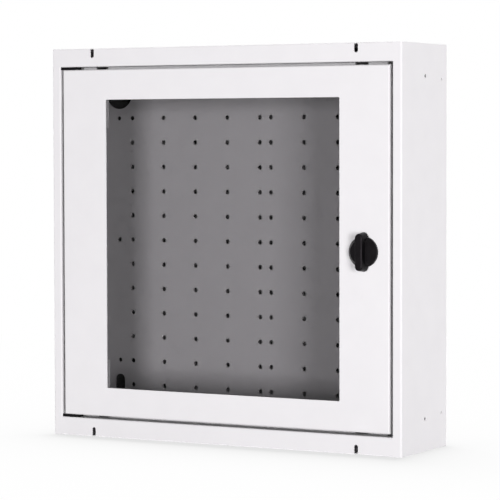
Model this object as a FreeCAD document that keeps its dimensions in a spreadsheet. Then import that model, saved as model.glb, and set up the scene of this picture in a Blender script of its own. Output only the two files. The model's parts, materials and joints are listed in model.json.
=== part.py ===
"""Wall-mount data cabinet: folded steel case, glazed door, quarter-turn lock, perforated mounting plate.

Frame: the origin is the centre of the rear face, +X is to the right seen from the front,
+Y points into the wall and +Z is up. The front of the case is the plane y = -depth.
"""
import FreeCAD, Part
import math
import os
import Sketcher

# Driving dimensions in millimetres
DIMENSIONS = (
    ("width", 500.0, "case, outside"),
    ("height", 500.0, "case, outside"),
    ("depth", 130.0, "wall to front rim"),
    ("gauge", 1.2, "sheet thickness"),
    ("bend", 2.0, "outside radius of a fold"),
    ("side_strip", 12.5, "front rim beside the door"),
    ("top_strip", 23.5, "front rim above and below the door"),
    ("rim_seam", 3.0, "inner edge of the side rim to its welded seam"),
    ("rebate", 21.0, "front rim to the door stop"),
    ("stop_lip", 14.0, "width of the door stop"),
    ("lip_clear", 28.0, "corner of the case to the end of the upper and lower stops"),
    ("side_lip_end", 40.0, "corner of the case to the end of the side stops"),
    ("lip_slot_length", 18.0, "slot in the upper and lower stops"),
    ("lip_slot_tall", 7.0, "slot in the upper and lower stops"),
    ("lip_slot_x", 186.7, "middle of that slot from the centre line"),
    ("rim_slot_wide", 5.2, "slot in the front rim"),
    ("rim_slot_tall", 12.0, "slot in the front rim"),
    ("rim_slot_deep", 7.0, "length of that slot over the fold"),
    ("rim_slot_x", 189.0, "that slot from the centre line"),
    ("side_flange", 16.0, "top and bottom panels, folded along the sides"),
    ("rear_flange", 18.0, "top and bottom panels, folded along the back"),
    ("knockout_long", 180.0, "cable knockout, across the cabinet"),
    ("knockout_wide", 45.0, "cable knockout, front to back"),
    ("knockout_rear", 22.0, "wall to the knockout"),
    ("knockout_groove", 0.8, "width of its groove"),
    ("knockout_deep", 0.6, "depth of its groove"),
    ("side_hole", 4.8, "hole in the side, at half depth"),
    ("side_hole_y", 62.5, "that hole from the wall"),
    ("side_hole_z", 210.0, "that hole from the middle height"),
    ("plug_weld", 3.2, "plug weld hole over the back panel's flange"),
    ("plug_weld_y", 15.0, "that hole from the wall"),
    ("plug_weld_z", 207.0, "that hole from the middle height"),
    ("back_flange", 28.0, "back panel, folded along the sides"),
    ("back_flange_half", 232.0, "half length of that fold"),
    ("wall_hole", 8.0, "wall fixing hole"),
    ("wall_hole_z", 202.0, "wall fixings from the middle height"),
    ("fixing_x", 222.0, "wall fixings from the centre line"),
    ("plate_size", 486.0, "mounting plate, square"),
    ("plate_thick", 1.5, "mounting plate"),
    ("plate_front", 12.0, "wall to the plate's front face"),
    ("perforation", 5.8, "hole diameter in the plate"),
    ("column_pitch", 48.4, "distance between columns of holes"),
    ("pair_pitch", 16.1, "distance between the two middle columns"),
    ("row_pitch", 32.3, "distance between rows of holes"),
    ("access_hole", 40.0, "round hole in the plate's upper corners"),
    ("access_slot_wide", 14.4, "slot in the plate's lower corners"),
    ("access_slot_tall", 27.0, "slot in the plate's lower corners"),
    ("spacer", 10.0, "plate spacer, across flats"),
    ("spacer_bore", 4.2, "bore of a spacer"),
    ("spacer_x", 180.0, "outer spacers from the centre line"),
    ("spacer_z", 222.0, "spacers from the middle height"),
    ("screw", 4.0, "plate screw and clip stud diameter"),
    ("screw_head", 7.0, "plate screw head, across flats"),
    ("screw_head_tall", 2.6, "plate screw head"),
    ("screw_length", 8.0, "plate screw under its head"),
    ("door_gap", 3.5, "gap round the door"),
    ("door_deep", 18.0, "depth of the door's folded edge"),
    ("door_lip", 10.0, "door edge, folded in at the back"),
    ("window_wide", 335.0, "window opening"),
    ("window_tall", 370.6, "window opening"),
    ("window_x", -1.0, "window centre"),
    ("window_z", -0.9, "window centre"),
    ("window_corner", 1.5, "corner radius of the window"),
    ("glass_thick", 4.0, "window pane"),
    ("glass_lap", 10.0, "pane beyond the window's edge"),
    ("tape_thick", 1.0, "sealing tape"),
    ("tape_inset", 1.5, "window's edge to the tape"),
    ("clip_thick", 1.5, "corner clip"),
    ("clip_arm", 36.0, "clip along the window from its corner"),
    ("clip_wide", 20.0, "clip beyond the window's edge"),
    ("clip_chamfer", 4.0, "cut-off corners of a clip"),
    ("stud_place", 15.0, "clip stud from both edges of the window"),
    ("stud_collar", 8.0, "collar of a clip stud, across flats"),
    ("stud_end", 118.0, "wall to the end of a clip stud"),
    ("clip_nut", 7.0, "across flats"),
    ("clip_nut_tall", 3.2, "clip nut"),
    ("hinge_in", 7.0, "hinge axis from the door's side edge"),
    ("hinge_back", 6.0, "hinge axis behind the door's face"),
    ("pin", 5.0, "hinge pin diameter"),
    ("pin_clearance", 0.1, "bush bore less pin diameter"),
    ("pin_above", 8.0, "pin beyond the door's edge"),
    ("pin_below", 17.0, "pin inside the door"),
    ("bush_long", 24.0, "hinge bush pad along the gap"),
    ("bush_deep", 12.0, "hinge bush pad, front to back"),
    ("bush_tall", 3.3, "hinge bush pad"),
    ("bush_spigot", 7.6, "hinge bush spigot, across flats"),
    ("bush_spigot_tall", 4.0, "hinge bush spigot"),
    ("pad_setback", 0.6, "pad behind the rim's face"),
    ("block_wide", 15.8, "hinge block"),
    ("block_deep", 11.8, "hinge block"),
    ("block_tall", 14.0, "hinge block"),
    ("buffer", 8.0, "door buffer, square"),
    ("buffer_tall", 2.9, "door buffer"),
    ("buffer_z", 150.0, "buffers from the middle height"),
    ("lock_x", 200.0, "lock axis"),
    ("lock_z", -3.0, "lock axis"),
    ("lock_body", 20.0, "lock housing diameter"),
    ("lock_length", 22.8, "lock housing behind the door's face"),
    ("lock_flange", 30.0, "flange diameter"),
    ("lock_flange_tall", 1.6, "flange"),
    ("lock_nut", 27.0, "across flats"),
    ("lock_nut_tall", 5.0, "lock nut"),
    ("spindle", 10.0, "spindle diameter"),
    ("spindle_clearance", 0.1, "housing bore less spindle diameter"),
    ("spindle_square", 7.0, "square ends of the spindle"),
    ("spindle_end_gap", 0.5, "spindle to the floor of the knob's socket"),
    ("cam_front", 106.8, "wall to the cam's front face, on the spindle's shoulder"),
    ("cam_thick", 2.5, "cam"),
    ("cam_wide", 20.0, "cam"),
    ("cam_reach", 34.0, "cam tip from the lock axis"),
    ("cam_chamfer", 5.0, "cut-off corners of the cam"),
    ("cam_screw", 5.0, "cam screw diameter"),
    ("cam_screw_head", 10.0, "across flats, wider than the spindle's square end"),
    ("cam_screw_head_tall", 3.5, "cam screw head"),
    ("cam_screw_length", 12.0, "cam screw under its head"),
    ("knob", 38.0, "knob disc diameter"),
    ("knob_face", 29.0, "flat of the knob disc"),
    ("knob_lift", 0.5, "knob disc before the door's face"),
    ("knob_rim", 3.5, "straight rim of the disc"),
    ("knob_disc_tall", 9.0, "disc, rear to flat"),
    ("knob_recess", 31.2, "recess over the lock flange"),
    ("knob_recess_deep", 1.5, "that recess"),
    ("knob_socket_deep", 6.5, "socket for the spindle"),
    ("wing_long", 48.0, "wing at its root"),
    ("wing_wide", 13.0, "wing at its root"),
    ("wing_draft", 7.0, "degrees that the wing's sides lean in"),
    ("wing_tall", 16.5, "wing crest before the door's face"),
    ("wing_round", 1.6, "edge of the wing's crest"),
)

COLUMNS_PER_SIDE = 5
ROWS = 13
EDGE_HOLE_ROW = 5
PLATE_SCREW_COLUMNS = 3
HEX_SIDES = 6
TINY = 1e-4

doc = FreeCAD.newDocument("cabinet")
sheet = doc.addObject("Spreadsheet::Sheet", "dims")
for row, (alias, value, note) in enumerate(DIMENSIONS, 1):
    sheet.set(f"A{row}", alias)
    sheet.set(f"B{row}", str(value))
    sheet.setAlias(f"B{row}", alias)
    sheet.set(f"C{row}", note)
doc.recompute()


class Size:
    """A length worked out from cells of the sheet, with the expression that a feature is bound to."""

    def __init__(self, value, text):
        self.value = float(value)
        self.text = text

    def __add__(self, other):
        other = as_size(other)
        return Size(self.value + other.value, f"({self.text} + {other.text})")

    def __sub__(self, other):
        other = as_size(other)
        return Size(self.value - other.value, f"({self.text} - {other.text})")

    def __mul__(self, other):
        other = as_size(other)
        return Size(self.value * other.value, f"({self.text} * {other.text})")

    def __truediv__(self, other):
        other = as_size(other)
        return Size(self.value / other.value, f"({self.text} / {other.text})")

    def __neg__(self):
        return Size(-self.value, f"(-1 * {self.text})")


def as_size(value):
    """A plain number as a Size."""
    return value if isinstance(value, Size) else Size(value, f"({float(value)!r})")


def cell(alias):
    """A driving dimension as a Size."""
    return Size(sheet.get(alias), f"dims.{alias}")


def bind(feature, name, value):
    """Bind one property of a feature to a Size."""
    feature.setExpression(name, as_size(value).text)


# Places that several pieces share
half_width = cell("width") / 2
half_height = cell("height") / 2
front = -cell("depth")
gauge = cell("gauge")
rim_x = half_width - cell("side_strip")
rim_z = half_height - cell("top_strip")
door_x = rim_x - cell("door_gap")
door_z = rim_z - cell("door_gap")
door_skin = front + gauge
stop_front = front + cell("rebate")
hinge_x = -door_x + cell("hinge_in")
hinge_y = front + cell("hinge_back")
glass_front = door_skin + cell("tape_thick")
glass_rear = glass_front + cell("glass_thick")
clip_rear = glass_rear + cell("clip_thick")
window_right = cell("window_x") + cell("window_wide") / 2
window_left = cell("window_x") - cell("window_wide") / 2
window_top = cell("window_z") + cell("window_tall") / 2
window_bottom = cell("window_z") - cell("window_tall") / 2
lock_x = cell("lock_x")
lock_z = cell("lock_z")
fixing_z = cell("row_pitch") * ((ROWS - 1) / 2)
# Flat length that a fold needs beside it
fold_room = cell("bend") * 2

# Each finished piece, by the name of its file
pieces = {}


def new_body(label):
    """An empty body that becomes the piece of that name."""
    body = doc.addObject("PartDesign::Body", label)
    body.Label = label
    pieces[label] = body
    return body


def origin_plane(body, role):
    """One of the body's own origin planes."""
    return next(item for item in body.Origin.OriginFeatures if item.Role == role)


def new_sketch(body, role, shift_x=0, shift_y=0, shift_z=0):
    """A sketch on an origin plane, shifted in the plane's own directions."""
    sketch = body.newObject("Sketcher::SketchObject", f"{body.Label}_sketch")
    sketch.AttachmentSupport = (origin_plane(body, role), "")
    sketch.MapMode = "FlatFace"
    bind(sketch, "AttachmentOffset.Base.x", shift_x)
    bind(sketch, "AttachmentOffset.Base.y", shift_y)
    bind(sketch, "AttachmentOffset.Base.z", shift_z)
    return sketch


def front_sketch(body, y, x=0, z=0):
    """A sketch seen from the front: across is X, up is Z, and pads grow towards the front."""
    return new_sketch(body, "XZ_Plane", x, z, -as_size(y))


def side_sketch(body, x, z=0):
    """A sketch seen from the right: across is Y, up is Z, and pads grow to the right."""
    return new_sketch(body, "YZ_Plane", 0, z, x)


def plan_sketch(body, z, x=0, y=0):
    """A sketch seen from above: across is X, up is Y, and pads grow upwards."""
    return new_sketch(body, "XY_Plane", x, y, z)


def place(sketch, geometry, point, across, up):
    """Fix one point of a sketch's geometry by its distances from the sketch's origin."""
    for kind, value in (("DistanceX", as_size(across)), ("DistanceY", as_size(up))):
        index = sketch.addConstraint(Sketcher.Constraint(kind, -1, 1, geometry, point, value.value))
        bind(sketch, f"Constraints[{index}]", value)


def polygon(sketch, corners):
    """A closed outline of straight lines through the corners."""
    corners = [(as_size(across), as_size(up)) for across, up in corners]
    ends = [FreeCAD.Vector(across.value, up.value, 0) for across, up in corners]
    lines = [sketch.addGeometry(Part.LineSegment(a, b)) for a, b in zip(ends, ends[1:] + ends[:1])]
    for line, following in zip(lines, lines[1:] + lines[:1]):
        sketch.addConstraint(Sketcher.Constraint("Coincident", line, 2, following, 1))
    for line, (across, up) in zip(lines, corners):
        place(sketch, line, 1, across, up)


def rectangle(sketch, left, right, low, high):
    """An upright rectangle."""
    polygon(sketch, ((left, low), (right, low), (right, high), (left, high)))


def hexagon(sketch, across_flats, across=0, up=0):
    """A hexagon with two level sides."""
    radius = across_flats / (2 * math.cos(math.pi / HEX_SIDES))
    turns = [math.pi / 2 + math.pi * (2 * step + 1) / HEX_SIDES for step in range(HEX_SIDES)]
    polygon(sketch, [(radius * math.cos(turn) + across, radius * math.sin(turn) + up) for turn in turns])


def small_hole(sketch, across, up, diameter):
    """A small hole or shank with flat sides in place of a circle, which keeps a piece light."""
    hexagon(sketch, diameter, across, up)


def circle(sketch, across, up, diameter):
    """A circle."""
    middle = FreeCAD.Vector(as_size(across).value, as_size(up).value, 0)
    upright = FreeCAD.Vector(0, 0, 1)
    ring = sketch.addGeometry(Part.Circle(middle, upright, diameter.value / 2))
    place(sketch, ring, 3, across, up)
    index = sketch.addConstraint(Sketcher.Constraint("Diameter", ring, diameter.value))
    bind(sketch, f"Constraints[{index}]", diameter)


def obround(sketch, across, low, high, wide):
    """An upright slot outline with round ends, from low to high."""
    middle = as_size(across).value
    radius = wide.value / 2
    bottom = (low + wide / 2).value
    top = (high - wide / 2).value
    upright = FreeCAD.Vector(0, 0, 1)
    upper = Part.Circle(FreeCAD.Vector(middle, top, 0), upright, radius)
    lower = Part.Circle(FreeCAD.Vector(middle, bottom, 0), upright, radius)
    corner = [FreeCAD.Vector(middle + side * radius, level, 0) for level in (bottom, top) for side in (1, -1)]
    right = sketch.addGeometry(Part.LineSegment(corner[0], corner[2]))
    cap = sketch.addGeometry(Part.ArcOfCircle(upper, 0, math.pi))
    left = sketch.addGeometry(Part.LineSegment(corner[3], corner[1]))
    base = sketch.addGeometry(Part.ArcOfCircle(lower, math.pi, 2 * math.pi))
    ring = (right, cap, left, base)
    for item, following in zip(ring, ring[1:] + ring[:1]):
        sketch.addConstraint(Sketcher.Constraint("Tangent", item, 2, following, 1))
    place(sketch, cap, 3, across, high - wide / 2)
    place(sketch, base, 3, across, low + wide / 2)
    index = sketch.addConstraint(Sketcher.Constraint("Diameter", cap, wide.value))
    bind(sketch, f"Constraints[{index}]", wide)


def pad(body, sketch, length):
    """Grow a sketch along its normal."""
    feature = body.newObject("PartDesign::Pad", f"{body.Label}_pad")
    feature.Profile = sketch
    bind(feature, "Length", length)
    doc.recompute()
    return feature


def pocket(body, sketch, length):
    """Cut a sketch away against its normal, and make sure that it cut something."""
    doc.recompute()
    before = body.Shape.Volume
    feature = body.newObject("PartDesign::Pocket", f"{body.Label}_pocket")
    feature.Profile = sketch
    bind(feature, "Length", length)
    doc.recompute()
    if body.Shape.Volume > before - TINY:
        raise RuntimeError(f"a pocket of {body.Label} cuts nothing")
    return feature


def turn(body, sketch, axis, kind="PartDesign::Revolution"):
    """Turn a sketch about one of its own axes, to add a round form or to cut one."""
    feature = body.newObject(kind, f"{body.Label}_turn")
    feature.Profile = sketch
    feature.ReferenceAxis = (sketch, [axis])
    feature.Angle = 360
    doc.recompute()
    return feature


def mirror(body, feature, role):
    """Repeat a feature on the other side of an origin plane."""
    copy = body.newObject("PartDesign::Mirrored", f"{body.Label}_mirror")
    copy.Originals = [feature]
    copy.MirrorPlane = (origin_plane(body, role), [""])
    body.Tip = copy
    doc.recompute()
    return copy


def row_step(sketch, axis, pitch, count):
    """One straight row of a pattern, along an axis of the sketch."""
    step = doc.addObject("PartDesign::LinearPattern", "row")
    step.Direction = (sketch, [axis])
    bind(step, "Length", pitch * (count - 1))
    step.Occurrences = count
    return step


def mirror_step(body, role):
    """One mirror of a pattern, over an origin plane."""
    step = doc.addObject("PartDesign::Mirrored", "mirror")
    step.MirrorPlane = (origin_plane(body, role), [""])
    return step


def pattern(body, features, steps):
    """Repeat features by several rows and mirrors together."""
    copies = body.newObject("PartDesign::MultiTransform", f"{body.Label}_pattern")
    copies.Originals = features
    copies.Transformations = steps
    body.Tip = copies
    doc.recompute()
    return copies


def along(edge, **coordinates):
    """True where both ends of a straight edge have the given coordinates."""
    ends = [vertex.Point for vertex in edge.Vertexes]
    spots = [(axis, as_size(value).value) for axis, value in coordinates.items()]
    offsets = [abs(getattr(end, axis) - value) for end in ends for axis, value in spots]
    return len(ends) == 2 and max(offsets) < TINY


def round_edges(body, radius, chosen, kind="PartDesign::Fillet"):
    """Round the edges of a body that the test picks."""
    doc.recompute()
    edges = body.Shape.Edges
    names = [f"Edge{index}" for index, edge in enumerate(edges, 1) if chosen(edge)]
    if not names:
        raise RuntimeError(f"no edge of {body.Label} to round")
    base = body.Tip
    feature = body.newObject(kind, f"{body.Label}_round")
    feature.Base = (base, names)
    bind(feature, "Radius" if kind.endswith("Fillet") else "Size", radius)
    body.Tip = feature
    doc.recompute()
    return feature


def mirrored_piece(label, source, normal, base=(0, 0, 0)):
    """A second piece, the mirror image of one already made."""
    copy = doc.addObject("Part::Mirroring", label)
    copy.Label = label
    copy.Source = source
    copy.Normal = normal
    for axis, value in zip("xyz", base):
        bind(copy, f"Base.{axis}", value)
    pieces[label] = copy
    doc.recompute()
    return copy


def fold_edges(body, outside, inside):
    """Round the folds of a sheet: the outer edges to the fold's radius, the inner ones less the gauge."""
    round_edges(body, cell("bend"), lambda edge: any(along(edge, **spot) for spot in outside))
    round_edges(body, cell("bend") - gauge, lambda edge: any(along(edge, **spot) for spot in inside))


def make_right_side_panel():
    """Side wall folded round the front into the rim, the door recess and the door stop."""
    body = new_body("right_side_panel")
    outline = plan_sketch(body, -half_height)
    seam_x = rim_x + cell("rim_seam")
    polygon(outline, (
        (half_width, 0), (half_width, front), (seam_x, front), (seam_x, door_skin),
        (half_width - gauge, door_skin), (half_width - gauge, 0),
    ))
    pad(body, outline, cell("height"))
    recess_half = rim_z + gauge
    recess = plan_sketch(body, -recess_half)
    wall_end = stop_front - fold_room
    polygon(recess, (
        (rim_x, front), (seam_x, front), (seam_x, door_skin), (rim_x + gauge, door_skin),
        (rim_x + gauge, wall_end), (rim_x, wall_end),
    ))
    pad(body, recess, recess_half * 2)
    lip_half = half_height - cell("side_lip_end")
    lip = plan_sketch(body, -lip_half)
    lip_start = front + fold_room
    polygon(lip, (
        (rim_x, lip_start), (rim_x + gauge, lip_start), (rim_x + gauge, stop_front + gauge),
        (rim_x - cell("stop_lip"), stop_front + gauge), (rim_x - cell("stop_lip"), stop_front),
        (rim_x, stop_front),
    ))
    pad(body, lip, lip_half * 2)
    outside = [
        {"x": half_width, "y": front}, {"x": rim_x, "y": front},
        {"x": rim_x + gauge, "y": stop_front + gauge},
    ]
    inside = [
        {"x": half_width - gauge, "y": door_skin}, {"x": rim_x + gauge, "y": door_skin},
        {"x": rim_x, "y": stop_front},
    ]
    fold_edges(body, outside, inside)
    # The rim's welded corners are square where the top and bottom strips butt against them
    corner = plan_sketch(body, rim_z)
    rectangle(corner, rim_x, seam_x, front, door_skin)
    mirror(body, pad(body, corner, cell("top_strip")), "XY_Plane")
    hole = side_sketch(body, half_width)
    circle(hole, -cell("side_hole_y"), cell("side_hole_z"), cell("side_hole"))
    mirror(body, pocket(body, hole, gauge), "XY_Plane")
    weld = side_sketch(body, half_width)
    small_hole(weld, -cell("plug_weld_y"), cell("plug_weld_z"), cell("plug_weld"))
    mirror(body, pocket(body, weld, gauge), "XY_Plane")
    return body


def make_top_panel():
    """Top wall folded into the upper rim, the door recess and the door stop, with flanges for welding."""
    body = new_body("top_panel")
    profile = side_sketch(body, -rim_x)
    wall_end = stop_front - fold_room
    flange_rear = -gauge
    flange_front = flange_rear - gauge
    flange_low = half_height - cell("rear_flange")
    polygon(profile, (
        (flange_rear, half_height), (front, half_height), (front, rim_z), (wall_end, rim_z),
        (wall_end, rim_z + gauge), (door_skin, rim_z + gauge), (door_skin, half_height - gauge),
        (flange_front, half_height - gauge), (flange_front, flange_low), (flange_rear, flange_low),
    ))
    pad(body, profile, rim_x * 2)
    lip_half = half_width - cell("lip_clear")
    lip = side_sketch(body, -lip_half)
    lip_low = rim_z - cell("stop_lip")
    lip_start = front + fold_room
    polygon(lip, (
        (lip_start, rim_z), (stop_front, rim_z), (stop_front, lip_low), (stop_front + gauge, lip_low),
        (stop_front + gauge, rim_z + gauge), (lip_start, rim_z + gauge),
    ))
    pad(body, lip, lip_half * 2)
    outside = [
        {"y": front, "z": half_height}, {"y": front, "z": rim_z},
        {"y": stop_front + gauge, "z": rim_z + gauge}, {"y": flange_rear, "z": half_height},
    ]
    inside = [
        {"y": door_skin, "z": half_height - gauge}, {"y": door_skin, "z": rim_z + gauge},
        {"y": stop_front, "z": rim_z}, {"y": flange_front, "z": half_height - gauge},
    ]
    fold_edges(body, outside, inside)
    # Wings of the top wall reach the side walls behind the rim and are folded down along them
    wing = front_sketch(body, -gauge)
    wall_x = half_width - gauge
    fold_low = half_height - cell("side_flange")
    polygon(wing, (
        (rim_x - cell("bend"), half_height), (wall_x, half_height), (wall_x, fold_low),
        (wall_x - gauge, fold_low), (wall_x - gauge, half_height - gauge),
        (rim_x - cell("bend"), half_height - gauge),
    ))
    mirror(body, pad(body, wing, cell("depth") - gauge - cell("bend")), "YZ_Plane")
    hinge_hole = plan_sketch(body, rim_z + gauge)
    hexagon(hinge_hole, cell("bush_spigot"), hinge_x, hinge_y)
    pocket(body, hinge_hole, gauge)
    slot = front_sketch(body, stop_front - cell("bend"))
    slot_half = cell("lip_slot_length") / 2
    rectangle(slot, cell("lip_slot_x") - slot_half, cell("lip_slot_x") + slot_half,
              rim_z - cell("lip_slot_tall"), rim_z + cell("bend"))
    mirror(body, pocket(body, slot, cell("bend") + gauge), "YZ_Plane")
    notch = front_sketch(body, front)
    obround(notch, cell("rim_slot_x"), half_height - cell("rim_slot_tall"),
            half_height + cell("rim_slot_wide"), cell("rim_slot_wide"))
    mirror(body, pocket(body, notch, cell("rim_slot_deep")), "YZ_Plane")
    knockout = plan_sketch(body, half_height)
    half_long = cell("knockout_long") / 2
    groove_long = half_long + cell("knockout_groove")
    rear = -cell("knockout_rear")
    knockout_front = rear - cell("knockout_wide")
    groove = cell("knockout_groove")
    rectangle(knockout, -groove_long, groove_long, knockout_front, rear)
    rectangle(knockout, -half_long, half_long, knockout_front + groove, rear - groove)
    pocket(body, knockout, cell("knockout_deep"))
    return body


def make_back_panel():
    """Flat back with two flanges along the side walls and four wall fixing holes."""
    body = new_body("back_panel")
    wall_x = half_width - gauge
    outline = front_sketch(body, 0)
    rectangle(outline, -wall_x, wall_x, -half_height, half_height)
    pad(body, outline, gauge)
    flange = plan_sketch(body, -cell("back_flange_half"))
    rectangle(flange, wall_x - gauge, wall_x, -cell("back_flange"), 0)
    mirror(body, pad(body, flange, cell("back_flange_half") * 2), "YZ_Plane")
    hole = front_sketch(body, -gauge)
    circle(hole, cell("fixing_x"), cell("wall_hole_z"), cell("wall_hole"))
    feature = pocket(body, hole, gauge)
    pattern(body, [feature], [mirror_step(body, "YZ_Plane"), mirror_step(body, "XY_Plane")])


def make_mounting_plate():
    """Perforated plate: ten columns of holes, edge holes, two round openings and two upright slots."""
    body = new_body("mounting_plate")
    half = cell("plate_size") / 2
    plate_front = -cell("plate_front")
    plate_thick = cell("plate_thick")
    outline = front_sketch(body, plate_front + plate_thick)
    rectangle(outline, -half, half, -half, half)
    pad(body, outline, plate_thick)
    first_column = cell("pair_pitch") / 2
    sides = "YZ_Plane"

    def hole_rows(outline, across, up, diameter, columns=1, rows=1):
        sketch = front_sketch(body, plate_front)
        outline(sketch, across, up, cell(diameter))
        feature = pocket(body, sketch, plate_thick)
        steps = []
        if columns > 1:
            steps.append(row_step(sketch, "H_Axis", cell("column_pitch"), columns))
        if rows > 1:
            steps.append(row_step(sketch, "V_Axis", cell("row_pitch"), rows))
        pattern(body, [feature], steps + [mirror_step(body, sides)])

    fixing_x = cell("fixing_x")
    edge_z = cell("row_pitch") * EDGE_HOLE_ROW
    for level in (-edge_z, edge_z):
        hole_rows(circle, fixing_x, level, "perforation")
    hole_rows(small_hole, fixing_x, 0, "perforation")
    hole_rows(circle, fixing_x, fixing_z, "access_hole")
    slot = front_sketch(body, plate_front)
    slot_half = cell("access_slot_tall") / 2
    obround(slot, fixing_x, -fixing_z - slot_half, -fixing_z + slot_half, cell("access_slot_wide"))
    mirror(body, pocket(body, slot, plate_thick), sides)
    screw_hole = front_sketch(body, plate_front)
    small_hole(screw_hole, -cell("spacer_x"), cell("spacer_z"), cell("spacer_bore"))
    feature = pocket(body, screw_hole, plate_thick)
    columns = row_step(screw_hole, "H_Axis", cell("spacer_x"), PLATE_SCREW_COLUMNS)
    pattern(body, [feature], [columns, mirror_step(body, "XY_Plane")])
    # The top row is one hole shorter on each side, where the round openings are
    hole_rows(small_hole, first_column, -fixing_z, "perforation", COLUMNS_PER_SIDE, ROWS - 1)
    hole_rows(small_hole, first_column, fixing_z, "perforation", COLUMNS_PER_SIDE - 1)


def make_plate_fixings():
    """Six hexagonal spacers on the back panel, and the screws that hold the plate on them."""
    plate_front = -cell("plate_front")
    plate_rear = plate_front + cell("plate_thick")
    screw_end = plate_front + cell("screw_length")

    def six(body, features):
        guide = front_sketch(body, plate_front)
        columns = row_step(guide, "H_Axis", cell("spacer_x"), PLATE_SCREW_COLUMNS)
        pattern(body, features, [columns, mirror_step(body, "XY_Plane")])

    spacers = new_body("plate_spacers")
    spacers.AllowCompound = True
    tube = front_sketch(spacers, -gauge, -cell("spacer_x"), cell("spacer_z"))
    hexagon(tube, cell("spacer"))
    small_hole(tube, 0, 0, cell("spacer_bore"))
    six(spacers, [pad(spacers, tube, -gauge - plate_rear)])

    screws = new_body("plate_screws")
    screws.AllowCompound = True
    shank = front_sketch(screws, screw_end, -cell("spacer_x"), cell("spacer_z"))
    small_hole(shank, 0, 0, cell("screw"))
    head = front_sketch(screws, plate_front, -cell("spacer_x"), cell("spacer_z"))
    hexagon(head, cell("screw_head"))
    six(screws, [pad(screws, shank, cell("screw_length")), pad(screws, head, cell("screw_head_tall"))])


def make_hinges():
    """Bushes in the rim's recess, and the blocks and pins that the door turns on."""
    bush = new_body("upper_hinge_bush")
    pad_low = rim_z - cell("bush_tall")
    base = plan_sketch(bush, pad_low)
    pad_left = -rim_x + cell("pad_setback") / 2
    pad_front = front + cell("pad_setback")
    rectangle(base, pad_left, pad_left + cell("bush_long"), pad_front, pad_front + cell("bush_deep"))
    pad(bush, base, cell("bush_tall"))
    spigot = plan_sketch(bush, rim_z)
    hexagon(spigot, cell("bush_spigot"), hinge_x, hinge_y)
    pad(bush, spigot, cell("bush_spigot_tall"))
    bore = plan_sketch(bush, rim_z + cell("bush_spigot_tall"))
    circle(bore, hinge_x, hinge_y, cell("pin") + cell("pin_clearance"))
    pocket(bush, bore, cell("bush_spigot_tall") + cell("bush_tall"))
    mirrored_piece("lower_hinge_bush", bush, (0, 0, 1))

    block = new_body("upper_hinge_block")
    inner_x = -door_x + gauge
    inner_z = door_z - gauge
    body_outline = plan_sketch(block, inner_z - cell("block_tall"))
    rectangle(body_outline, inner_x, inner_x + cell("block_wide"), door_skin, door_skin + cell("block_deep"))
    small_hole(body_outline, hinge_x, hinge_y, cell("pin"))
    pad(block, body_outline, cell("block_tall"))
    mirrored_piece("lower_hinge_block", block, (0, 0, 1))

    pin = new_body("upper_hinge_pin")
    shank = plan_sketch(pin, door_z - cell("pin_below"))
    circle(shank, hinge_x, hinge_y, cell("pin"))
    pad(pin, shank, cell("pin_below") + cell("pin_above"))
    mirrored_piece("lower_hinge_pin", pin, (0, 0, 1))


def make_door_buffers():
    """Two rubber buffers on the lock-side door stop."""
    body = new_body("door_buffers")
    body.AllowCompound = True
    buffer_x = door_x - cell("door_lip") / 2
    half = cell("buffer") / 2
    square = front_sketch(body, stop_front, buffer_x, cell("buffer_z"))
    rectangle(square, -half, half, -half, half)
    mirror(body, pad(body, square, cell("buffer_tall")), "XY_Plane")


def make_door_panel():
    """Door skin with its edge folded back and in again, a window and a hole for the lock."""
    body = new_body("door_panel")
    door_rear = front + cell("door_deep")
    block = front_sketch(body, door_rear)
    rectangle(block, -door_x, door_x, -door_z, door_z)
    pad(body, block, cell("door_deep"))
    folds = [{"y": front, "x": door_x * side} for side in (1, -1)]
    folds += [{"y": front, "z": door_z * level} for level in (1, -1)]
    round_edges(body, cell("bend"), lambda edge: any(along(edge, **spot) for spot in folds))
    cavity = front_sketch(body, door_skin)
    rectangle(cavity, -door_x + gauge, door_x - gauge, -door_z + gauge, door_z - gauge)
    pocket(body, cavity, cell("door_deep") - gauge * 2)
    mouth = front_sketch(body, door_rear - gauge)
    lip = cell("door_lip")
    rectangle(mouth, -door_x + lip, door_x - lip, -door_z + lip, door_z - lip)
    pocket(body, mouth, gauge)
    window = front_sketch(body, front)
    rectangle(window, window_left, window_right, window_bottom, window_top)
    pocket(body, window, gauge)
    corners = [{"x": x, "z": z} for x in (window_left, window_right) for z in (window_bottom, window_top)]
    round_edges(body, cell("window_corner"), lambda edge: any(along(edge, **spot) for spot in corners))
    lock_hole = front_sketch(body, front)
    circle(lock_hole, lock_x, lock_z, cell("lock_body"))
    pocket(body, lock_hole, gauge)
    pin_hole = plan_sketch(body, door_z)
    small_hole(pin_hole, hinge_x, hinge_y, cell("pin"))
    mirror(body, pocket(body, pin_hole, gauge), "XY_Plane")


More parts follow.
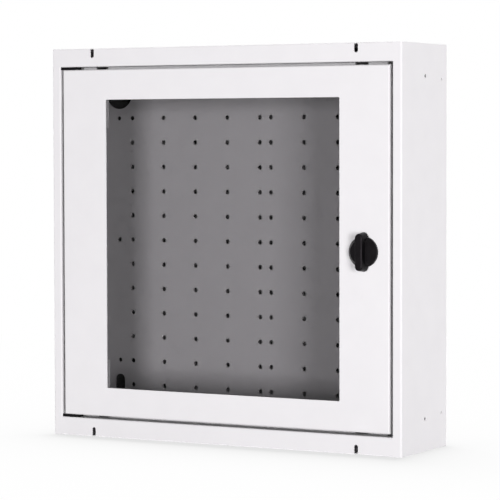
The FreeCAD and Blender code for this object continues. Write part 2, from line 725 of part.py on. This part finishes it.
def make_window():
    """Tinted pane, the tape that seals it, and the corner clips with their studs and nuts."""
    lap = cell("glass_lap")
    glass = new_body("window_glass")
    outline = front_sketch(glass, glass_rear)
    rectangle(outline, window_left - lap, window_right + lap, window_bottom - lap, window_top + lap)
    pad(glass, outline, cell("glass_thick"))

    tape = new_body("glass_tape")
    inset = cell("tape_inset")
    ring = front_sketch(tape, glass_front)
    rectangle(ring, window_left - lap, window_right + lap, window_bottom - lap, window_top + lap)
    rectangle(ring, window_left - inset, window_right + inset, window_bottom - inset, window_top + inset)
    pad(tape, ring, cell("tape_thick"))

    clip = new_body("glass_clip_upper_right")
    arm = cell("clip_arm")
    wide = cell("clip_wide")
    stud_x = window_right + cell("stud_place")
    stud_z = window_top + cell("stud_place")
    elbow = front_sketch(clip, clip_rear)
    polygon(elbow, (
        (window_right, window_top - arm), (window_right + wide, window_top - arm),
        (window_right + wide, window_top + wide), (window_right - arm, window_top + wide),
        (window_right - arm, window_top), (window_right, window_top),
    ))
    small_hole(elbow, stud_x, stud_z, cell("screw"))
    pad(clip, elbow, cell("clip_thick"))
    outer = {"x": window_right + wide, "z": window_top + wide}
    lower_tip = {"x": window_right + wide, "z": window_top - arm}
    inner_tip = {"x": window_right - arm, "z": window_top + wide}
    tips = (outer, lower_tip, inner_tip)
    chamfer = "PartDesign::Chamfer"
    round_edges(clip, cell("clip_chamfer"), lambda edge: any(along(edge, **spot) for spot in tips), chamfer)
    middle = (cell("window_x"), 0, cell("window_z"))
    mirrored_piece("glass_clip_upper_left", clip, (1, 0, 0), middle)
    lower = mirrored_piece("glass_clip_lower_right", clip, (0, 0, 1), middle)
    mirrored_piece("glass_clip_lower_left", lower, (1, 0, 0), middle)

    stud_pitch_x = stud_x - window_left + cell("stud_place")
    stud_pitch_z = stud_z - window_bottom + cell("stud_place")
    stud_left = window_left - cell("stud_place")
    stud_low = window_bottom - cell("stud_place")

    def four(body, features):
        guide = front_sketch(body, front)
        steps = [row_step(guide, "H_Axis", stud_pitch_x, 2), row_step(guide, "V_Axis", stud_pitch_z, 2)]
        pattern(body, features, steps)

    studs = new_body("clip_studs")
    studs.AllowCompound = True
    collar = front_sketch(studs, glass_rear, stud_left, stud_low)
    hexagon(collar, cell("stud_collar"))
    collar_pad = pad(studs, collar, glass_rear - door_skin)
    shank = front_sketch(studs, -cell("stud_end"), stud_left, stud_low)
    small_hole(shank, 0, 0, cell("screw"))
    four(studs, [collar_pad, pad(studs, shank, -cell("stud_end") - glass_rear)])

    nuts = new_body("clip_nuts")
    nuts.AllowCompound = True
    ring = front_sketch(nuts, clip_rear + cell("clip_nut_tall"), stud_left, stud_low)
    hexagon(ring, cell("clip_nut"))
    small_hole(ring, 0, 0, cell("screw"))
    four(nuts, [pad(nuts, ring, cell("clip_nut_tall"))])


def make_lock_body():
    """Fixed part of the quarter-turn lock: housing and nut."""
    housing = new_body("lock_housing")
    sketch = side_sketch(housing, lock_x, lock_z)
    bore = (cell("spindle") + cell("spindle_clearance")) / 2
    flange_front = front - cell("lock_flange_tall")
    polygon(sketch, (
        (flange_front, bore), (flange_front, cell("lock_flange") / 2), (front, cell("lock_flange") / 2),
        (front, cell("lock_body") / 2), (front + cell("lock_length"), cell("lock_body") / 2),
        (front + cell("lock_length"), bore),
    ))
    turn(housing, sketch, "H_Axis")

    nut = new_body("lock_nut")
    sketch = front_sketch(nut, door_skin + cell("lock_nut_tall"), lock_x, lock_z)
    hexagon(sketch, cell("lock_nut"))
    circle(sketch, 0, 0, cell("lock_body"))
    pad(nut, sketch, cell("lock_nut_tall"))


def make_lock_rotor():
    """Turning part of the lock behind the knob: spindle, cam and screw."""
    socket_floor = front - cell("knob_lift") - cell("knob_recess_deep") - cell("knob_socket_deep")
    spindle_front = socket_floor + cell("spindle_end_gap")
    shoulder = -cell("cam_front")
    cam_rear = shoulder + cell("cam_thick")
    square = cell("spindle_square") / 2
    bearing_front = front - cell("lock_flange_tall")

    spindle = new_body("lock_spindle")
    shaft = front_sketch(spindle, shoulder, lock_x, lock_z)
    circle(shaft, 0, 0, cell("spindle"))
    pad(spindle, shaft, shoulder - bearing_front)
    for rear, length in ((cam_rear, cam_rear - shoulder), (bearing_front, bearing_front - spindle_front)):
        end = front_sketch(spindle, rear, lock_x, lock_z)
        rectangle(end, -square, square, -square, square)
        pad(spindle, end, length)
    thread = front_sketch(spindle, cam_rear - cell("cam_screw_length"), lock_x, lock_z)
    small_hole(thread, 0, 0, cell("cam_screw"))
    pocket(spindle, thread, cell("cam_screw_length"))

    cam = new_body("lock_cam")
    lever = front_sketch(cam, cam_rear, lock_x, lock_z)
    half = cell("cam_wide") / 2
    low = -cell("cam_reach")
    cut = cell("cam_chamfer")
    polygon(lever, (
        (half - cut, low), (half, low + cut), (half, half - cut), (half - cut, half),
        (cut - half, half), (-half, half - cut), (-half, low + cut), (cut - half, low),
    ))
    rectangle(lever, -square, square, -square, square)
    pad(cam, lever, cell("cam_thick"))

    screw = new_body("cam_screw")
    shank = front_sketch(screw, cam_rear, lock_x, lock_z)
    small_hole(shank, 0, 0, cell("cam_screw"))
    pad(screw, shank, cell("cam_screw_length"))
    head = front_sketch(screw, cam_rear + cell("cam_screw_head_tall"), lock_x, lock_z)
    hexagon(head, cell("cam_screw_head"))
    pad(screw, head, cell("cam_screw_head_tall"))


def lean_in(body):
    """Draft the upright sides of a wing inwards from its root, and make sure that it got smaller."""
    base = body.Tip
    named = [(f"Face{index}", face) for index, face in enumerate(base.Shape.Faces, 1)]
    draft = body.newObject("PartDesign::Draft", "wing_draft")
    draft.Base = (base, [name for name, face in named if abs(face.normalAt(0, 0).z) < TINY])
    draft.NeutralPlane = (origin_plane(body, "XY_Plane"), [""])
    bind(draft, "Angle", cell("wing_draft"))
    body.Tip = draft
    doc.recompute()
    if draft.Shape.Volume > base.Shape.Volume - TINY:
        raise RuntimeError(f"the wing of {body.Label} leans out")


def make_wing_knob():
    """Knob: a disc with a sloping shoulder, and a wing that tapers towards its rounded crest."""
    # Drawn upright, with the floor of its recess at z = 0, and tipped forward onto the lock axis at the end
    body = new_body("wing_knob")
    rear = -cell("knob_recess_deep")
    flat = rear + cell("knob_disc_tall")
    crest = rear + cell("wing_tall") - cell("knob_lift")
    root = plan_sketch(body, 0)
    obround(root, 0, cell("wing_long") / -2, cell("wing_long") / 2, cell("wing_wide"))
    pad(body, root, crest)
    lean_in(body)

    def at_crest(edge):
        return all(abs(vertex.Z - crest.value) < TINY for vertex in edge.Vertexes)

    round_edges(body, cell("wing_round"), at_crest)
    disc = front_sketch(body, 0)
    polygon(disc, (
        (0, rear), (cell("knob") / 2, rear), (cell("knob") / 2, rear + cell("knob_rim")),
        (cell("knob_face") / 2, flat), (0, flat),
    ))
    turn(body, disc, "V_Axis")
    recess = front_sketch(body, 0)
    rectangle(recess, 0, cell("knob_recess") / 2, rear, 0)
    turn(body, recess, "V_Axis", "PartDesign::Groove")
    square = cell("spindle_square") / 2
    socket = plan_sketch(body, cell("knob_socket_deep"))
    rectangle(socket, -square, square, -square, square)
    pocket(body, socket, cell("knob_socket_deep"))
    body.Placement.Rotation = FreeCAD.Rotation(FreeCAD.Vector(1, 0, 0), 90)
    for axis, spot in zip("xyz", (lock_x, front - cell("knob_lift") + rear, lock_z)):
        bind(body, f"Placement.Base.{axis}", spot)


def write_pieces():
    """Stop if anything failed to build, then write one file for each piece."""
    doc.recompute()
    for item in doc.Objects:
        if "Invalid" in item.State or "Error" in item.State:
            raise RuntimeError(f"{item.Label} did not build: {item.State}")
    for label, piece in pieces.items():
        if piece.Shape.isNull() or not piece.Shape.isValid() or not piece.Shape.Solids:
            raise RuntimeError(f"{label} is not a valid solid")
    os.makedirs("parts", exist_ok=True)
    for label, piece in pieces.items():
        piece.Shape.exportStep(f"parts/{label}.step")


mirrored_piece("left_side_panel", make_right_side_panel(), (1, 0, 0))
mirrored_piece("bottom_panel", make_top_panel(), (0, 0, 1))
make_back_panel()
make_mounting_plate()
make_plate_fixings()
make_hinges()
make_door_buffers()
make_door_panel()
make_window()
make_lock_body()
make_lock_rotor()
make_wing_knob()
write_pieces()
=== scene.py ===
"""Looks of the wall-mount data cabinet: finishes, rubber pads, camera, studio light and floor.

Lengths are in metres, apart from the camera's lens and sensor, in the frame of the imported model: the
origin is the centre of the rear face, +X is to the right seen from the front, +Y points into the wall
and +Z is up.
"""
import bpy
import json
import math
from collections import namedtuple
from mathutils import Matrix, Vector


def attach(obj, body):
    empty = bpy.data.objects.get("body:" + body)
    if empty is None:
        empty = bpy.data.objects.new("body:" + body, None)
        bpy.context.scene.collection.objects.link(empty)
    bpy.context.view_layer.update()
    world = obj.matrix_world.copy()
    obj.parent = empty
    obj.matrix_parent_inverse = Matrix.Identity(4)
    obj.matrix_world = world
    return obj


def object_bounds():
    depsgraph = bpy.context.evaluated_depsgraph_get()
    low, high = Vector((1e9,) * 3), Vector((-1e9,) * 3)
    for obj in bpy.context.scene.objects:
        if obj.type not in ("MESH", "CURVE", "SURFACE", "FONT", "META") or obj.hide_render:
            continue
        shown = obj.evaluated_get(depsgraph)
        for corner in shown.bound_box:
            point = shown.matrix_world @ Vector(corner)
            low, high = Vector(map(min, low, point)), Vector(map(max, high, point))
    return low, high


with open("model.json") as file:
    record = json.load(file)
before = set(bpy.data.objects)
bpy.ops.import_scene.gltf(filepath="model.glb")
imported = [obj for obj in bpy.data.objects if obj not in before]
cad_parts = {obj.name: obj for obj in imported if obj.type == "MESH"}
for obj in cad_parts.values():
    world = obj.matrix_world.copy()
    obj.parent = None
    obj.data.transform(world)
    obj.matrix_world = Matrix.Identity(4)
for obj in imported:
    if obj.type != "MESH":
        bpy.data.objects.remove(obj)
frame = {"nodes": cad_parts, "record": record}
cad_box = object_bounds()

MILLIMETRE = 0.001
WHITE = (1.0, 1.0, 1.0)

# Middle and half size of the cabinet's box
BOX_MIDDLE = (cad_box[0] + cad_box[1]) / 2
BOX_HALF = (cad_box[1] - cad_box[0]) / 2

# Camera, from the corners and holes of the cabinet in the picture, with lens and sensor in millimetres
CAMERA_PLACE = Vector((1.4874, -2.7363, 0.1361))
CAMERA_LENS = 173.04
CAMERA_SENSOR = 36.0
CAMERA_YAW = math.radians(29.0099)
CAMERA_PITCH = math.radians(2.6902)
CAMERA_ROLL = math.radians(-0.1292)

# Studio light: yaw to the right of the front and rise in degrees, sizes in metres, power in watts
Softbox = namedtuple("Softbox", "name yaw rise distance wide tall power")
SOFTBOXES = (
    Softbox("left_of_camera", 6.5, 0.0, 6.0, 1.85, 2.16, 194.0),
    Softbox("right_of_camera", 46.5, 0.0, 6.0, 1.58, 2.16, 213.0),
    Softbox("right_and_back", 122.0, 4.0, 5.0, 2.4, 2.4, 113.0),
    Softbox("left_and_back", -106.0, 12.0, 6.0, 2.2, 2.2, 245.0),
    Softbox("overhead", -145.0, 72.0, 3.2, 1.1, 1.1, 52.0),
    Softbox("underneath", -145.0, -80.0, 3.2, 1.1, 1.1, 56.0),
)
WORLD_LIGHT = 0.04

# Floor: a painted shadow, deepest at the cabinet's foot and half as deep at FLOOR_SHADE_HALF from there,
# over the real shadow in its matt part
FLOOR_RADIUS = 1.6
FLOOR_SIDES = 96
FLOOR_COLOUR = (0.9, 0.9, 0.9)
FLOOR_BOUNCE = (0.2, 0.2, 0.2)
FLOOR_SHADE = 0.29
FLOOR_SHADE_HALF = 0.018
FLOOR_GAP = 0.0002

# Wall holes of the back panel, across and up from the middle
wall_fixing = next(mount for mount in frame["record"]["mounts"] if mount["name"] == "wall_fixing")
WALL_HOLE = [wall_fixing["dims"][name] * MILLIMETRE / 2 for name in ("spacing_x_mm", "spacing_y_mm")]

# Rubber pads on the sheet of the back panel, dark sheets put behind the corner openings of the plate as
# painted shade: their place and size are across and up
BACK_SHEET = 0.0012
PAD_PLACE = (0.224, 0.1945)
PAD_SIZE = (0.046, 0.074)
PAD_CORNER = 0.006
PAD_CORNER_STEPS = 8
PAD_HOLE_RADIUS = 0.0015
PAD_HOLE_STEPS = 32
PAD_THICKNESS = 0.0016
PAD_EDGE = 0.0002

# Pitch of the thread on each threaded node, and the depth of a thread in pitches
THREADS = {"clip_studs": 0.0007, "lock_housing": 0.001}
THREAD_DEPTH = 0.5

# Length of one wave of a wave texture at scale 1, and the values that most of a noise lies between
WAVE_PERIOD = math.pi / 10
NOISE_RANGE = (0.3, 0.7)

# Colour of the light that the paint passes on to other surfaces: dim, for deep shadows in the cabinet
PAINT_BOUNCE = (0.28, 0.28, 0.28)

# Share of the light that the pane lets through
PANE_TINT = (0.528, 0.523, 0.529)


class Finish:
    """A material in the making: its node tree, its main shader and short ways to add nodes."""

    def __init__(self, name):
        self.material = bpy.data.materials.new(name)
        self.material.use_nodes = True
        self.tree = self.material.node_tree
        self.shader = self.tree.nodes["Principled BSDF"]
        self.output = self.tree.nodes["Material Output"]
        self.place = self.add("ShaderNodeTexCoord").outputs["Object"]

    def add(self, kind, **settings):
        """A new node with some of its own settings."""
        node = self.tree.nodes.new(kind)
        for name, value in settings.items():
            setattr(node, name, value)
        return node

    def link(self, output, socket):
        """Feed one node's output into another node's socket."""
        self.tree.links.new(output, socket)

    def constants(self, **values):
        """Set sockets of the main shader that are the same all over the surface."""
        for name, value in values.items():
            self.shader.inputs[name.replace("_", " ")].default_value = value

    def number(self, operation, first, second):
        """One step of arithmetic with two numbers, each of them fixed or another node's output."""
        node = self.add("ShaderNodeMath", operation=operation)
        for socket, value in zip(node.inputs, (first, second)):
            if isinstance(value, bpy.types.NodeSocket):
                self.link(value, socket)
            else:
                socket.default_value = value
        return node.outputs["Value"]

    def vector(self, operation, value, other=None):
        """One step of vector arithmetic with a fixed second vector."""
        node = self.add("ShaderNodeVectorMath", operation=operation)
        self.link(value, node.inputs[0])
        if other is not None:
            node.inputs[1].default_value = other
        return node.outputs["Value" if operation == "LENGTH" else "Vector"]

    def noise(self, grain, detail, stretch=(1.0, 1.0, 1.0)):
        """Noise whose features are about grain metres across."""
        node = self.add("ShaderNodeTexNoise")
        node.inputs["Scale"].default_value = 1 / grain
        node.inputs["Detail"].default_value = detail
        self.link(self.vector("MULTIPLY", self.place, stretch), node.inputs["Vector"])
        return node.outputs["Fac"]

    def rings(self, pitch):
        """Even ridges round the Y axis, a pitch in metres apart."""
        node = self.add("ShaderNodeTexWave", bands_direction="Y")
        node.inputs["Scale"].default_value = WAVE_PERIOD / pitch
        self.link(self.place, node.inputs["Vector"])
        return node.outputs["Fac"]

    def spread(self, noise, low=0.0, high=1.0):
        """Stretch a noise over the range from low to high."""
        node = self.add("ShaderNodeMapRange")
        self.link(noise, node.inputs["Value"])
        for name, number in zip(("From Min", "From Max", "To Min", "To Max"), (*NOISE_RANGE, low, high)):
            node.inputs[name].default_value = number
        return node.outputs["Result"]

    def colour_mix(self, factor):
        """A mix of two colours by a factor: its two colour sockets and its result."""
        node = self.add("ShaderNodeMix", data_type="RGBA")
        self.link(factor, node.inputs["Factor"])
        first, second = (socket for socket in node.inputs if socket.type == "RGBA")
        result = next(socket for socket in node.outputs if socket.type == "RGBA")
        return first, second, result

    def colours(self, factor, darker, lighter):
        """A colour between two, by a factor."""
        first, second, result = self.colour_mix(factor)
        first.default_value = (*darker, 1.0)
        second.default_value = (*lighter, 1.0)
        return result

    def passing_on(self, shown, passed):
        """The shown colour for the eye, and another for the light that the surface passes on to others."""
        rays = self.add("ShaderNodeLightPath")
        first, second, result = self.colour_mix(rays.outputs["Is Diffuse Ray"])
        self.link(shown, first)
        second.default_value = (*passed, 1.0)
        return result

    def bump(self, height, depth, under=None):
        """Surface relief of a depth in metres, on top of another relief if there is one."""
        node = self.add("ShaderNodeBump")
        node.inputs["Distance"].default_value = depth
        self.link(height, node.inputs["Height"])
        if under is not None:
            self.link(under, node.inputs["Normal"])
        return node.outputs["Normal"]

    def wear(self, colour=None, roughness=None, normal=None):
        """Connect what varies over the surface to the main shader."""
        for name, output in (("Base Color", colour), ("Roughness", roughness), ("Normal", normal)):
            if output is not None:
                self.link(output, self.shader.inputs[name])

    def matt(self, colour):
        """A plain matt shader."""
        node = self.add("ShaderNodeBsdfDiffuse")
        node.inputs["Color"].default_value = (*colour, 1.0)
        return node.outputs["BSDF"]

    def clear(self, colour):
        """A shader that lets rays straight through."""
        node = self.add("ShaderNodeBsdfTransparent")
        node.inputs["Color"].default_value = (*colour, 1.0)
        return node.outputs["BSDF"]

    def blend(self, factor, first, second):
        """A shader between two, by a factor."""
        node = self.add("ShaderNodeMixShader")
        self.link(factor, node.inputs["Fac"])
        self.link(first, node.inputs[1])
        self.link(second, node.inputs[2])
        return node.outputs["Shader"]


def case_paint():
    """Textured white paint: a fine orange-peel relief, a faint mottle and uneven gloss."""
    finish = Finish("case_paint")
    mottle = finish.spread(finish.noise(grain=0.035, detail=4.0))
    colour = finish.colours(mottle, darker=(0.842, 0.822, 0.845), lighter=(0.862, 0.842, 0.865))
    gloss = finish.spread(finish.noise(grain=0.006, detail=3.0), low=0.48, high=0.62)
    peel = finish.bump(finish.noise(grain=0.0016, detail=2.0), depth=0.00006)
    speckle = finish.bump(finish.noise(grain=0.0005, detail=1.0), depth=0.00002, under=peel)
    finish.wear(finish.passing_on(colour, PAINT_BOUNCE), gloss, speckle)
    finish.constants(Specular_IOR_Level=0.25)
    return finish.material


def tinted_glass():
    """Grey pane that lets lamps and soft light through, with a faint film on its surface."""
    finish = Finish("tinted_glass")
    film = finish.spread(finish.noise(grain=0.09, detail=3.0), low=0.0, high=0.03)
    finish.wear(roughness=film)
    finish.constants(Base_Color=(*PANE_TINT, 1.0), Transmission_Weight=1.0, IOR=1.1)
    one_face = [math.sqrt(share) for share in PANE_TINT]
    rays = finish.add("ShaderNodeLightPath")
    lit = finish.number("MAXIMUM", rays.outputs["Is Shadow Ray"], rays.outputs["Is Diffuse Ray"])
    pane = finish.blend(lit, finish.shader.outputs["BSDF"], finish.clear(one_face))
    finish.link(pane, finish.output.inputs["Surface"])
    return finish.material


def black_plastic():
    """Moulded black plastic with a fine matt grain and slightly polished patches."""
    finish = Finish("black_plastic")
    tone = finish.spread(finish.noise(grain=0.008, detail=3.0))
    colour = finish.colours(tone, darker=(0.0018, 0.0016, 0.0019), lighter=(0.0030, 0.0027, 0.0031))
    gloss = finish.spread(finish.noise(grain=0.005, detail=2.0), low=0.28, high=0.40)
    relief = finish.bump(finish.noise(grain=0.0004, detail=2.0), depth=0.00003)
    finish.wear(colour, gloss, relief)
    finish.constants(Specular_IOR_Level=0.10, Specular_Tint=(1.0, 0.9, 1.0, 1.0))
    return finish.material


def rubber():
    """Matt black rubber and foam tape."""
    finish = Finish("rubber")
    tone = finish.spread(finish.noise(grain=0.004, detail=4.0))
    colour = finish.colours(tone, darker=(0.016, 0.016, 0.016), lighter=(0.028, 0.028, 0.027))
    gloss = finish.spread(finish.noise(grain=0.003, detail=2.0), low=0.72, high=0.88)
    pores = finish.bump(finish.noise(grain=0.0006, detail=3.0), depth=0.00006)
    finish.wear(colour, gloss, pores)
    finish.constants(Specular_IOR_Level=0.3)
    return finish.material


def zinc(name="zinc", pitch=None):
    """Satin zinc plating, cloudy and finely drawn, over a thread along Y where it has a pitch."""
    finish = Finish(name)
    cloud = finish.spread(finish.noise(grain=0.004, detail=4.0))
    colour = finish.colours(cloud, darker=(0.31, 0.32, 0.34), lighter=(0.42, 0.43, 0.45))
    gloss = finish.spread(finish.noise(grain=0.002, detail=3.0), low=0.44, high=0.60)
    relief = finish.bump(finish.noise(grain=0.0008, detail=2.0, stretch=(6.0, 1.0, 6.0)), depth=0.00002)
    if pitch:
        relief = finish.bump(finish.rings(pitch), depth=THREAD_DEPTH * pitch, under=relief)
    finish.wear(colour, gloss, relief)
    finish.constants(Metallic=1.0)
    return finish.material


def finish_nodes():
    """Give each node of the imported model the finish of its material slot, and return the finishes."""
    finishes = {make.__name__: make() for make in (case_paint, tinted_glass, black_plastic, rubber, zinc)}
    for name, node in frame["nodes"].items():
        slot_name = node.material_slots[0].material.name.split(".")[0]
        finish = finishes[slot_name]
        if name in THREADS:
            finish = zinc(f"zinc_{name}", THREADS[name])
        node.material_slots[0].material = finish
    return finishes


def outline(curve, points):
    """Add a closed line of flat points to a filled curve."""
    spline = curve.splines.new("POLY")
    spline.points.add(len(points) - 1)
    for target, (across, up) in zip(spline.points, points):
        target.co = (across, up, 0, 1)
    spline.use_cyclic_u = True


def arc(centre, radius, start, end, steps):
    """Points on an arc, with angles in degrees."""
    across, up = centre
    angles = (math.radians(start + (end - start) * step / steps) for step in range(steps + 1))
    return [(across + radius * math.cos(angle), up + radius * math.sin(angle)) for angle in angles]


def make_pad(name, side, level):
    """A soft rubber pad on the back panel, behind a corner opening of the plate: a dark sheet put there as
    painted shade.

    It covers a wall hole, with a small hole where the screw goes.
    """
    curve = bpy.data.curves.new(name, "CURVE")
    curve.dimensions = "2D"
    curve.fill_mode = "BOTH"
    corners = ((1, 1), (-1, 1), (-1, -1), (1, -1))
    inner_x = PAD_SIZE[0] / 2 - PAD_CORNER
    inner_z = PAD_SIZE[1] / 2 - PAD_CORNER
    border = []
    for quarter, (right, up) in enumerate(corners):
        start = 90 * quarter
        border += arc((right * inner_x, up * inner_z), PAD_CORNER, start, start + 90, PAD_CORNER_STEPS)
    outline(curve, border)
    hole = (side * (WALL_HOLE[0] - PAD_PLACE[0]), level * (WALL_HOLE[1] - PAD_PLACE[1]))
    outline(curve, arc(hole, PAD_HOLE_RADIUS, 0, 360, PAD_HOLE_STEPS)[:-1])
    curve.extrude = PAD_THICKNESS / 2 - PAD_EDGE
    curve.bevel_depth = PAD_EDGE
    curve.offset = -PAD_EDGE
    shape = bpy.data.objects.new(name + "_curve", curve)
    mesh = bpy.data.meshes.new_from_object(shape)
    bpy.data.objects.remove(shape)
    mesh.transform(Matrix.Rotation(math.radians(90), 4, "X"))
    depth = -BACK_SHEET - PAD_THICKNESS / 2
    mesh.transform(Matrix.Translation((side * PAD_PLACE[0], depth, level * PAD_PLACE[1])))
    pad = bpy.data.objects.new(name, mesh)
    bpy.context.scene.collection.objects.link(pad)
    return pad


def make_pads(finish):
    """The four pads: painted shade, dark sheets that make the corner openings of the plate look nearly
    black from the front.
    """
    for side, across in ((1, "right"), (-1, "left")):
        for level, height in ((1, "upper"), (-1, "lower")):
            # Painted shade: a dark rubber pad behind each corner opening of the plate
            pad = make_pad(f"fixing_pad_{height}_{across}", side, level)
            pad.data.materials.clear()
            pad.data.materials.append(finish)
            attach(pad, "case")


def make_camera():
    """The picture's camera: yaw to the right of the front, pitch down, and a slight roll."""
    flat = Vector((-math.sin(CAMERA_YAW), math.cos(CAMERA_YAW), 0))
    forward = flat * math.cos(CAMERA_PITCH) - Vector((0, 0, math.sin(CAMERA_PITCH)))
    right = Vector((math.cos(CAMERA_YAW), math.sin(CAMERA_YAW), 0))
    up = right.cross(forward)
    across = right * math.cos(CAMERA_ROLL) + up * math.sin(CAMERA_ROLL)
    upward = up * math.cos(CAMERA_ROLL) - right * math.sin(CAMERA_ROLL)
    data = bpy.data.cameras.new("camera")
    data.lens = CAMERA_LENS
    data.sensor_width = CAMERA_SENSOR
    camera = bpy.data.objects.new("camera", data)
    turned = Matrix((across, upward, -forward)).transposed()
    camera.matrix_world = Matrix.Translation(CAMERA_PLACE) @ turned.to_4x4()
    bpy.context.scene.collection.objects.link(camera)
    bpy.context.scene.camera = camera


def make_softbox(box):
    """One rectangular lamp that faces the cabinet's middle."""
    yaw = math.radians(box.yaw)
    rise = math.radians(box.rise)
    away = Vector((math.sin(yaw) * math.cos(rise), -math.cos(yaw) * math.cos(rise), math.sin(rise)))
    data = bpy.data.lights.new(box.name, "AREA")
    data.shape = "RECTANGLE"
    data.size = box.wide
    data.size_y = box.tall
    data.energy = box.power
    lamp = bpy.data.objects.new(box.name, data)
    lamp.location = BOX_MIDDLE + away * box.distance
    lamp.rotation_mode = "QUATERNION"
    lamp.rotation_quaternion = (-away).to_track_quat("-Z", "Y")
    bpy.context.scene.collection.objects.link(lamp)


def seen_rays(tree):
    """One for rays that show the surroundings, straight, mirrored or through glass, else nought."""
    rays = tree.nodes.new("ShaderNodeLightPath")
    factor = rays.outputs["Is Camera Ray"]
    for name in ("Is Glossy Ray", "Is Transmission Ray"):
        either = tree.nodes.new("ShaderNodeMath")
        either.operation = "MAXIMUM"
        tree.links.new(factor, either.inputs[0])
        tree.links.new(rays.outputs[name], either.inputs[1])
        factor = either.outputs["Value"]
    return factor


def make_world():
    """White round about for the eye, for gloss and for glass, and a softer white as light."""
    world = bpy.data.worlds.new("studio")
    bpy.context.scene.world = world
    world.use_nodes = True
    nodes = world.node_tree.nodes
    links = world.node_tree.links
    light = nodes["Background"]
    light.inputs["Color"].default_value = (*WHITE, 1.0)
    light.inputs["Strength"].default_value = WORLD_LIGHT
    seen = nodes.new("ShaderNodeBackground")
    seen.inputs["Color"].default_value = (*WHITE, 1.0)
    mix = nodes.new("ShaderNodeMixShader")
    links.new(seen_rays(world.node_tree), mix.inputs["Fac"])
    links.new(light.outputs["Background"], mix.inputs[1])
    links.new(seen.outputs["Background"], mix.inputs[2])
    links.new(mix.outputs["Shader"], nodes["World Output"].inputs["Surface"])


def floor_finish():
    """White with a painted shadow that is deepest at the cabinet's foot, over the real shadow in its matt
    part, and clear from below.
    """
    finish = Finish("floor")
    finish.tree.nodes.remove(finish.shader)
    beside = finish.vector("SUBTRACT", finish.place, (BOX_MIDDLE.x, BOX_MIDDLE.y, 0))
    past_side = finish.vector("SUBTRACT", finish.vector("ABSOLUTE", beside), (BOX_HALF.x, BOX_HALF.y, 0))
    away = finish.vector("LENGTH", finish.vector("MAXIMUM", past_side, (0, 0, 0)))
    # Painted shadow: nearer the foot, glowing white gives way to lit matt white
    reach = finish.number("ADD", away, FLOOR_SHADE_HALF)
    painted_shadow_share = finish.number("DIVIDE", FLOOR_SHADE * FLOOR_SHADE_HALF, reach)
    glow = finish.add("ShaderNodeEmission").outputs["Emission"]
    shown = finish.blend(painted_shadow_share, glow, finish.matt(FLOOR_COLOUR))
    above = finish.blend(seen_rays(finish.tree), finish.matt(FLOOR_BOUNCE), shown)
    from_below = finish.add("ShaderNodeNewGeometry").outputs["Backfacing"]
    whole = finish.blend(from_below, above, finish.clear(WHITE))
    finish.link(whole, finish.output.inputs["Surface"])
    return finish.material


def make_floor(level):
    """A round floor that casts no shadow, so that lamps below its level still reach the cabinet."""
    bpy.ops.mesh.primitive_circle_add(
        vertices=FLOOR_SIDES, radius=FLOOR_RADIUS, fill_type="NGON", location=(0, 0, level))
    floor = bpy.context.object
    floor.name = "floor"
    floor.visible_shadow = False
    floor.data.materials.append(floor_finish())


made = finish_nodes()
make_pads(made["rubber"])
make_camera()
make_world()
for softbox in SOFTBOXES:
    make_softbox(softbox)
make_floor(cad_box[0].z - FLOOR_GAP)
bpy.context.scene.view_settings.view_transform = "Standard"
